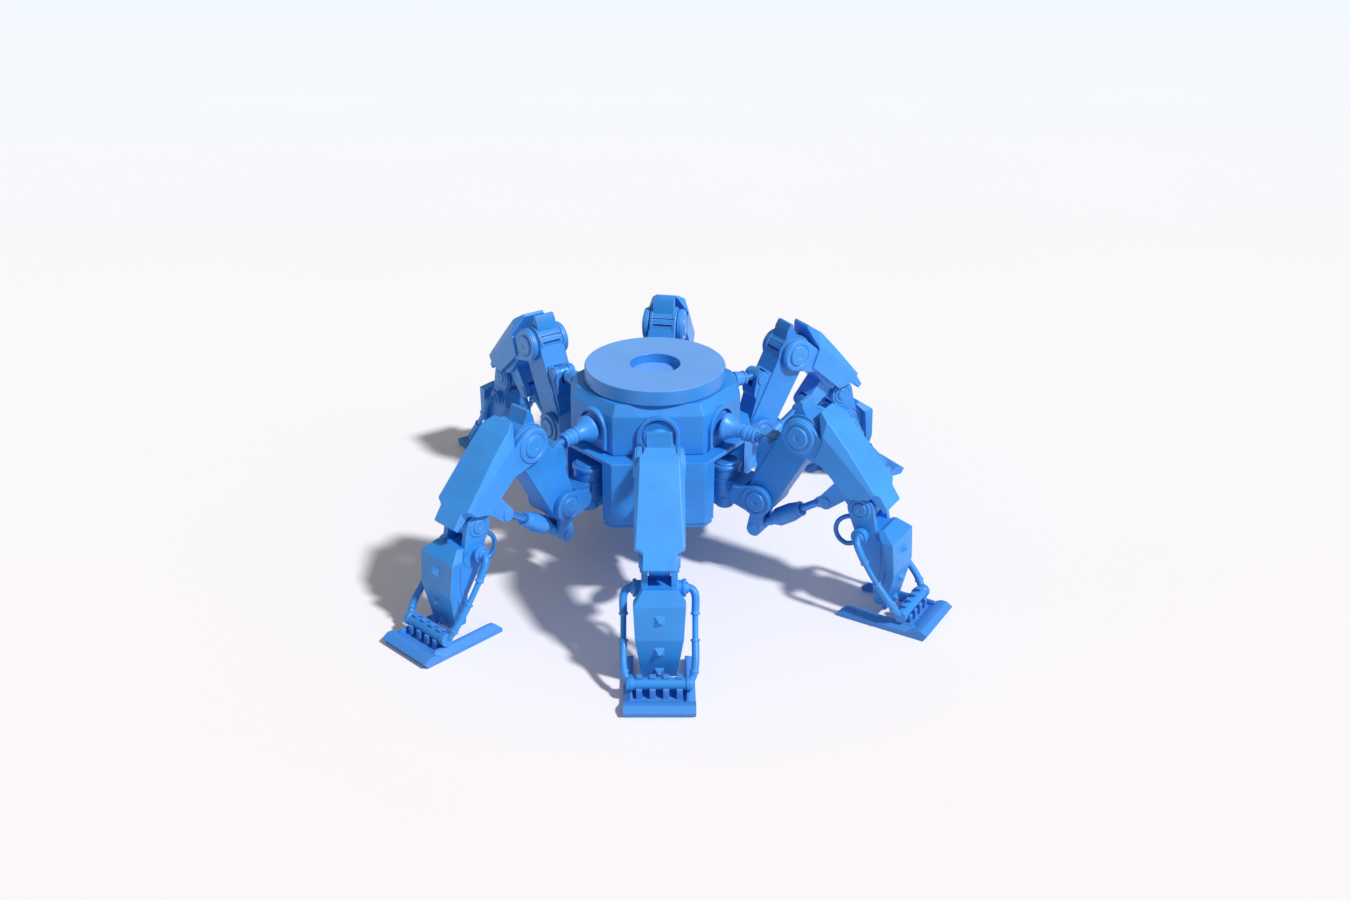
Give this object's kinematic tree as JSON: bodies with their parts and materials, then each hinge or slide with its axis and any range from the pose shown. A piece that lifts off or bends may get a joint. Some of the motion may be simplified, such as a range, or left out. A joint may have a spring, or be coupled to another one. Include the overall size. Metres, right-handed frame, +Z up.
{
  "type": "six-legged walking robot",
  "caption": "Round-lidded hull on six jointed legs with hip drums, thighs, armoured shanks, telescopic struts, tube-caged shins and U-shaped feet.",
  "frame": {"origin": "on the floor under the centre of the hull's lid", "axes": "+Z up through the hull's axis; the front leg points to -Y and +X is to its right seen from behind the camera at -Y"},
  "size_m": [0.5114, 0.5995, 0.189],
  "materials": {
    "lid_paint": "satin light blue moulded shell",
    "hull_paint": "satin blue moulded shell",
    "frame_metal": "blue anodised, bead blasted",
    "armour_paint": "satin bright blue enamel",
    "rod_metal": "polished, blue anodised",
    "sole": "moulded blue rubber on a stiff core",
    "cell_wrap": "shrink wrap",
    "board_mask": "solder mask"
  },
  "bodies": {
    "hull": {"hull_lid": "lid_paint", "hull_upper_casing": "hull_paint", "hull_lower_casing": "hull_paint", "hull_base_plate": "frame_metal", "battery_pack": "cell_wrap", "controller_board": "board_mask"},
    "front_hip_drum": {"front_hip_drum": "frame_metal"},
    "front_thigh": {"front_thigh": "hull_paint"},
    "front_strut_barrel": {"front_strut_barrel": "armour_paint"},
    "front_strut_rod": {"front_strut_rod": "rod_metal"},
    "front_knee_ram_barrel": {"front_knee_ram_barrel": "armour_paint"},
    "front_knee_ram_rod": {"front_knee_ram_rod": "rod_metal"},
    "front_shank": {"front_shank": "armour_paint"},
    "front_shin": {"front_shin": "hull_paint"},
    "front_foot": {"front_foot": "sole"},
    "front_right_hip_drum": {"front_right_hip_drum": "frame_metal"},
    "front_right_thigh": {"front_right_thigh": "hull_paint"},
    "front_right_strut_barrel": {"front_right_strut_barrel": "armour_paint"},
    "front_right_strut_rod": {"front_right_strut_rod": "rod_metal"},
    "front_right_knee_ram_barrel": {"front_right_knee_ram_barrel": "armour_paint"},
    "front_right_knee_ram_rod": {"front_right_knee_ram_rod": "rod_metal"},
    "front_right_shank": {"front_right_shank": "armour_paint"},
    "front_right_shin": {"front_right_shin": "hull_paint"},
    "front_right_foot": {"front_right_foot": "sole"},
    "rear_right_hip_drum": {"rear_right_hip_drum": "frame_metal"},
    "rear_right_thigh": {"rear_right_thigh": "hull_paint"},
    "rear_right_strut_barrel": {"rear_right_strut_barrel": "armour_paint"},
    "rear_right_strut_rod": {"rear_right_strut_rod": "rod_metal"},
    "rear_right_knee_ram_barrel": {"rear_right_knee_ram_barrel": "armour_paint"},
    "rear_right_knee_ram_rod": {"rear_right_knee_ram_rod": "rod_metal"},
    "rear_right_shank": {"rear_right_shank": "armour_paint"},
    "rear_right_shin": {"rear_right_shin": "hull_paint"},
    "rear_right_foot": {"rear_right_foot": "sole"},
    "rear_hip_drum": {"rear_hip_drum": "frame_metal"},
    "rear_thigh": {"rear_thigh": "hull_paint"},
    "rear_strut_barrel": {"rear_strut_barrel": "armour_paint"},
    "rear_strut_rod": {"rear_strut_rod": "rod_metal"},
    "rear_knee_ram_barrel": {"rear_knee_ram_barrel": "armour_paint"},
    "rear_knee_ram_rod": {"rear_knee_ram_rod": "rod_metal"},
    "rear_shank": {"rear_shank": "armour_paint"},
    "rear_shin": {"rear_shin": "hull_paint"},
    "rear_foot": {"rear_foot": "sole"},
    "rear_left_hip_drum": {"rear_left_hip_drum": "frame_metal"},
    "rear_left_thigh": {"rear_left_thigh": "hull_paint"},
    "rear_left_strut_barrel": {"rear_left_strut_barrel": "armour_paint"},
    "rear_left_strut_rod": {"rear_left_strut_rod": "rod_metal"},
    "rear_left_knee_ram_barrel": {"rear_left_knee_ram_barrel": "armour_paint"},
    "rear_left_knee_ram_rod": {"rear_left_knee_ram_rod": "rod_metal"},
    "rear_left_shank": {"rear_left_shank": "armour_paint"},
    "rear_left_shin": {"rear_left_shin": "hull_paint"},
    "rear_left_foot": {"rear_left_foot": "sole"},
    "front_left_hip_drum": {"front_left_hip_drum": "frame_metal"},
    "front_left_thigh": {"front_left_thigh": "hull_paint"},
    "front_left_strut_barrel": {"front_left_strut_barrel": "armour_paint"},
    "front_left_strut_rod": {"front_left_strut_rod": "rod_metal"},
    "front_left_knee_ram_barrel": {"front_left_knee_ram_barrel": "armour_paint"},
    "front_left_knee_ram_rod": {"front_left_knee_ram_rod": "rod_metal"},
    "front_left_shank": {"front_left_shank": "armour_paint"},
    "front_left_shin": {"front_left_shin": "hull_paint"},
    "front_left_foot": {"front_left_foot": "sole"}
  },
  "joints": [
    {"name": "front_hip_yaw", "type": "hinge", "parent": "hull", "child": "front_hip_drum", "pos_m": [0, -0.08, 0.09], "axis": [0, 0, 1], "range_deg": [-21.6, 26.4]},
    {"name": "front_hip_pitch", "type": "hinge", "parent": "front_hip_drum", "child": "front_thigh", "pos_m": [-0.00176, -0.12196, 0.085], "axis": [0.9991, -0.0419, 0], "range_deg": [-6, 9]},
    {"name": "front_strut_swivel", "type": "hinge", "parent": "front_hip_drum", "child": "front_strut_barrel", "pos_m": [0, -0.08, 0.142], "axis": [0.9991, -0.0419, 0], "range_deg": [-3, 3]},
    {"name": "front_strut_slide", "type": "slide", "parent": "front_strut_barrel", "child": "front_strut_rod", "axis": [-0.0418, -0.9962, -0.0767], "range_m": [-0.008, 0.012]},
    {"name": "front_knee", "type": "hinge", "parent": "front_thigh", "child": "front_shank", "pos_m": [-0.00339, -0.16093, 0.159], "axis": [0.9991, -0.0419, 0], "range_deg": [-12, 12]},
    {"name": "front_knee_ram_swivel", "type": "hinge", "parent": "front_thigh", "child": "front_knee_ram_barrel", "pos_m": [-0.00151, -0.11597, 0.051], "axis": [0.9991, -0.0419, 0], "range_deg": [-5, 5]},
    {"name": "front_knee_ram_slide", "type": "slide", "parent": "front_knee_ram_barrel", "child": "front_knee_ram_rod", "axis": [-0.0348, -0.8295, 0.5574], "range_m": [-0.016, 0.016]},
    {"name": "front_ankle", "type": "hinge", "parent": "front_shank", "child": "front_shin", "pos_m": [-0.00595, -0.22187, 0.103], "axis": [0.9991, -0.0419, 0], "range_deg": [-15, 15]},
    {"name": "front_toe_hinge", "type": "hinge", "parent": "front_shin", "child": "front_foot", "pos_m": [-0.008, -0.27083, 0.016], "axis": [0.9991, -0.0419, 0], "range_deg": [-12, 12]},
    {"name": "front_right_hip_yaw", "type": "hinge", "parent": "hull", "child": "front_right_hip_drum", "pos_m": [0.06261, -0.0498, 0.09], "axis": [0, 0, 1], "range_deg": [-28.8, 19.2]},
    {"name": "front_right_hip_pitch", "type": "hinge", "parent": "front_right_hip_drum", "child": "front_right_thigh", "pos_m": [0.09755, -0.07311, 0.085], "axis": [0.5548, 0.832, 0], "range_deg": [-6, 9]},
    {"name": "front_right_strut_swivel", "type": "hinge", "parent": "front_right_hip_drum", "child": "front_right_strut_barrel", "pos_m": [0.06261, -0.0498, 0.142], "axis": [0.5548, 0.832, 0], "range_deg": [-3, 3]},
    {"name": "front_right_strut_slide", "type": "slide", "parent": "front_right_strut_barrel", "child": "front_right_strut_rod", "axis": [0.8295, -0.5532, -0.0767], "range_m": [-0.008, 0.012]},
    {"name": "front_right_knee", "type": "hinge", "parent": "front_right_thigh", "child": "front_right_shank", "pos_m": [0.13, -0.09474, 0.159], "axis": [0.5548, 0.832, 0], "range_deg": [-12, 12]},
    {"name": "front_right_knee_ram_swivel", "type": "hinge", "parent": "front_right_thigh", "child": "front_right_knee_ram_barrel", "pos_m": [0.09256, -0.06978, 0.051], "axis": [0.5548, 0.832, 0], "range_deg": [-5, 5]},
    {"name": "front_right_knee_ram_slide", "type": "slide", "parent": "front_right_knee_ram_barrel", "child": "front_right_knee_ram_rod", "axis": [0.6907, -0.4606, 0.5574], "range_m": [-0.016, 0.016]},
    {"name": "front_right_ankle", "type": "hinge", "parent": "front_right_shank", "child": "front_right_shin", "pos_m": [0.18075, -0.12859, 0.103], "axis": [0.5548, 0.832, 0], "range_deg": [-15, 15]},
    {"name": "front_right_toe_hinge", "type": "hinge", "parent": "front_right_shin", "child": "front_right_foot", "pos_m": [0.22151, -0.15578, 0.016], "axis": [0.5548, 0.832, 0], "range_deg": [-12, 12]},
    {"name": "rear_right_hip_yaw", "type": "hinge", "parent": "hull", "child": "rear_right_hip_drum", "pos_m": [0.06261, 0.0498, 0.09], "axis": [0, 0, 1], "range_deg": [-14.4, 33.6]},
    {"name": "rear_right_hip_pitch", "type": "hinge", "parent": "rear_right_hip_drum", "child": "rear_right_thigh", "pos_m": [0.09938, 0.0701, 0.085], "axis": [-0.4833, 0.8755, 0], "range_deg": [-6, 9]},
    {"name": "rear_right_strut_swivel", "type": "hinge", "parent": "rear_right_hip_drum", "child": "rear_right_strut_barrel", "pos_m": [0.06261, 0.0498, 0.142], "axis": [-0.4833, 0.8755, 0], "range_deg": [-3, 3]},
    {"name": "rear_right_strut_slide", "type": "slide", "parent": "rear_right_strut_barrel", "child": "rear_right_strut_rod", "axis": [0.8729, 0.4819, -0.0767], "range_m": [-0.008, 0.012]},
    {"name": "rear_right_knee", "type": "hinge", "parent": "rear_right_thigh", "child": "rear_right_shank", "pos_m": [0.13352, 0.08895, 0.159], "axis": [-0.4833, 0.8755, 0], "range_deg": [-12, 12]},
    {"name": "rear_right_knee_ram_swivel", "type": "hinge", "parent": "rear_right_thigh", "child": "rear_right_knee_ram_barrel", "pos_m": [0.09413, 0.0672, 0.051], "axis": [-0.4833, 0.8755, 0], "range_deg": [-5, 5]},
    {"name": "rear_right_knee_ram_slide", "type": "slide", "parent": "rear_right_knee_ram_barrel", "child": "rear_right_knee_ram_rod", "axis": [0.7268, 0.4012, 0.5574], "range_m": [-0.016, 0.016]},
    {"name": "rear_right_ankle", "type": "hinge", "parent": "rear_right_shank", "child": "rear_right_shin", "pos_m": [0.18693, 0.11843, 0.103], "axis": [-0.4833, 0.8755, 0], "range_deg": [-15, 15]},
    {"name": "rear_right_toe_hinge", "type": "hinge", "parent": "rear_right_shin", "child": "rear_right_foot", "pos_m": [0.22982, 0.14211, 0.016], "axis": [-0.4833, 0.8755, 0], "range_deg": [-12, 12]},
    {"name": "rear_hip_yaw", "type": "hinge", "parent": "hull", "child": "rear_hip_drum", "pos_m": [0, 0.08, 0.09], "axis": [0, 0, 1], "range_deg": [-12, 36]},
    {"name": "rear_hip_pitch", "type": "hinge", "parent": "rear_hip_drum", "child": "rear_thigh", "pos_m": [0.00873, 0.12108, 0.085], "axis": [-0.9781, 0.2079, 0], "range_deg": [-6, 9]},
    {"name": "rear_strut_swivel", "type": "hinge", "parent": "rear_hip_drum", "child": "rear_strut_barrel", "pos_m": [0, 0.08, 0.142], "axis": [-0.9781, 0.2079, 0], "range_deg": [-3, 3]},
    {"name": "rear_strut_slide", "type": "slide", "parent": "rear_strut_barrel", "child": "rear_strut_rod", "axis": [0.2073, 0.9753, -0.0767], "range_m": [-0.008, 0.012]},
    {"name": "rear_knee", "type": "hinge", "parent": "rear_thigh", "child": "rear_shank", "pos_m": [0.01684, 0.15923, 0.159], "axis": [-0.9781, 0.2079, 0], "range_deg": [-12, 12]},
    {"name": "rear_knee_ram_swivel", "type": "hinge", "parent": "rear_thigh", "child": "rear_knee_ram_barrel", "pos_m": [0.00749, 0.11521, 0.051], "axis": [-0.9781, 0.2079, 0], "range_deg": [-5, 5]},
    {"name": "rear_knee_ram_slide", "type": "slide", "parent": "rear_knee_ram_barrel", "child": "rear_knee_ram_rod", "axis": [0.1726, 0.8121, 0.5574], "range_m": [-0.016, 0.016]},
    {"name": "rear_ankle", "type": "hinge", "parent": "rear_shank", "child": "rear_shin", "pos_m": [0.02952, 0.2189, 0.103], "axis": [-0.9781, 0.2079, 0], "range_deg": [-15, 15]},
    {"name": "rear_toe_hinge", "type": "hinge", "parent": "rear_shin", "child": "rear_foot", "pos_m": [0.03971, 0.26683, 0.016], "axis": [-0.9781, 0.2079, 0], "range_deg": [-12, 12]},
    {"name": "rear_left_hip_yaw", "type": "hinge", "parent": "hull", "child": "rear_left_hip_drum", "pos_m": [-0.06261, 0.0498, 0.09], "axis": [0, 0, 1], "range_deg": [-4.8, 43.2]},
    {"name": "rear_left_hip_pitch", "type": "hinge", "parent": "rear_left_hip_drum", "child": "rear_left_thigh", "pos_m": [-0.08505, 0.0853, 0.085], "axis": [-0.8453, -0.5344, 0], "range_deg": [-6, 9]},
    {"name": "rear_left_strut_swivel", "type": "hinge", "parent": "rear_left_hip_drum", "child": "rear_left_strut_barrel", "pos_m": [-0.06261, 0.0498, 0.142], "axis": [-0.8453, -0.5344, 0], "range_deg": [-3, 3]},
    {"name": "rear_left_strut_slide", "type": "slide", "parent": "rear_left_strut_barrel", "child": "rear_left_strut_rod", "axis": [-0.5328, 0.8428, -0.0767], "range_m": [-0.008, 0.012]},
    {"name": "rear_left_knee", "type": "hinge", "parent": "rear_left_thigh", "child": "rear_left_shank", "pos_m": [-0.10589, 0.11827, 0.159], "axis": [-0.8453, -0.5344, 0], "range_deg": [-12, 12]},
    {"name": "rear_left_knee_ram_swivel", "type": "hinge", "parent": "rear_left_thigh", "child": "rear_left_knee_ram_barrel", "pos_m": [-0.08185, 0.08023, 0.051], "axis": [-0.8453, -0.5344, 0], "range_deg": [-5, 5]},
    {"name": "rear_left_knee_ram_slide", "type": "slide", "parent": "rear_left_knee_ram_barrel", "child": "rear_left_knee_ram_rod", "axis": [-0.4436, 0.7018, 0.5574], "range_m": [-0.016, 0.016]},
    {"name": "rear_left_ankle", "type": "hinge", "parent": "rear_left_shank", "child": "rear_left_shin", "pos_m": [-0.13849, 0.16983, 0.103], "axis": [-0.8453, -0.5344, 0], "range_deg": [-15, 15]},
    {"name": "rear_left_toe_hinge", "type": "hinge", "parent": "rear_left_shin", "child": "rear_left_foot", "pos_m": [-0.16467, 0.21125, 0.016], "axis": [-0.8453, -0.5344, 0], "range_deg": [-12, 12]},
    {"name": "front_left_hip_yaw", "type": "hinge", "parent": "hull", "child": "front_left_hip_drum", "pos_m": [-0.06261, -0.0498, 0.09], "axis": [0, 0, 1], "range_deg": [-28.3, 19.7]},
    {"name": "front_left_hip_pitch", "type": "hinge", "parent": "front_left_hip_drum", "child": "front_left_thigh", "pos_m": [-0.09342, -0.07834, 0.085], "axis": [0.6794, -0.7337, 0], "range_deg": [-6, 9]},
    {"name": "front_left_strut_swivel", "type": "hinge", "parent": "front_left_hip_drum", "child": "front_left_strut_barrel", "pos_m": [-0.06261, -0.0498, 0.142], "axis": [0.6794, -0.7337, 0], "range_deg": [-3, 3]},
    {"name": "front_left_strut_slide", "type": "slide", "parent": "front_left_strut_barrel", "child": "front_left_strut_rod", "axis": [-0.7316, -0.6774, -0.0767], "range_m": [-0.008, 0.012]},
    {"name": "front_left_knee", "type": "hinge", "parent": "front_left_thigh", "child": "front_left_shank", "pos_m": [-0.12204, -0.10484, 0.159], "axis": [0.6794, -0.7337, 0], "range_deg": [-12, 12]},
    {"name": "front_left_knee_ram_swivel", "type": "hinge", "parent": "front_left_thigh", "child": "front_left_knee_ram_barrel", "pos_m": [-0.08902, -0.07426, 0.051], "axis": [0.6794, -0.7337, 0], "range_deg": [-5, 5]},
    {"name": "front_left_knee_ram_slide", "type": "slide", "parent": "front_left_knee_ram_barrel", "child": "front_left_knee_ram_rod", "axis": [-0.6092, -0.5641, 0.5574], "range_m": [-0.016, 0.016]},
    {"name": "front_left_ankle", "type": "hinge", "parent": "front_left_shank", "child": "front_left_shin", "pos_m": [-0.1668, -0.14628, 0.103], "axis": [0.6794, -0.7337, 0], "range_deg": [-15, 15]},
    {"name": "front_left_toe_hinge", "type": "hinge", "parent": "front_left_shin", "child": "front_left_foot", "pos_m": [-0.20275, -0.17957, 0.016], "axis": [0.6794, -0.7337, 0], "range_deg": [-12, 12]}
  ],
  "couplings": [
    {"joint": "front_strut_swivel", "follows": "front_hip_pitch", "ratio": 0.0163},
    {"joint": "front_strut_slide", "follows": "front_hip_pitch", "m_per_rad": 0.05347},
    {"joint": "front_knee_ram_swivel", "follows": "front_knee", "ratio": -0.155},
    {"joint": "front_knee_ram_slide", "follows": "front_knee", "m_per_rad": -0.06361},
    {"joint": "front_right_strut_swivel", "follows": "front_right_hip_pitch", "ratio": 0.0163},
    {"joint": "front_right_strut_slide", "follows": "front_right_hip_pitch", "m_per_rad": 0.05347},
    {"joint": "front_right_knee_ram_swivel", "follows": "front_right_knee", "ratio": -0.155},
    {"joint": "front_right_knee_ram_slide", "follows": "front_right_knee", "m_per_rad": -0.06361},
    {"joint": "rear_right_strut_swivel", "follows": "rear_right_hip_pitch", "ratio": 0.0163},
    {"joint": "rear_right_strut_slide", "follows": "rear_right_hip_pitch", "m_per_rad": 0.05347},
    {"joint": "rear_right_knee_ram_swivel", "follows": "rear_right_knee", "ratio": -0.155},
    {"joint": "rear_right_knee_ram_slide", "follows": "rear_right_knee", "m_per_rad": -0.06361},
    {"joint": "rear_strut_swivel", "follows": "rear_hip_pitch", "ratio": 0.0163},
    {"joint": "rear_strut_slide", "follows": "rear_hip_pitch", "m_per_rad": 0.05347},
    {"joint": "rear_knee_ram_swivel", "follows": "rear_knee", "ratio": -0.155},
    {"joint": "rear_knee_ram_slide", "follows": "rear_knee", "m_per_rad": -0.06361},
    {"joint": "rear_left_strut_swivel", "follows": "rear_left_hip_pitch", "ratio": 0.0163},
    {"joint": "rear_left_strut_slide", "follows": "rear_left_hip_pitch", "m_per_rad": 0.05347},
    {"joint": "rear_left_knee_ram_swivel", "follows": "rear_left_knee", "ratio": -0.155},
    {"joint": "rear_left_knee_ram_slide", "follows": "rear_left_knee", "m_per_rad": -0.06361},
    {"joint": "front_left_strut_swivel", "follows": "front_left_hip_pitch", "ratio": 0.0163},
    {"joint": "front_left_strut_slide", "follows": "front_left_hip_pitch", "m_per_rad": 0.05347},
    {"joint": "front_left_knee_ram_swivel", "follows": "front_left_knee", "ratio": -0.155},
    {"joint": "front_left_knee_ram_slide", "follows": "front_left_knee", "m_per_rad": -0.06361}
  ]
}
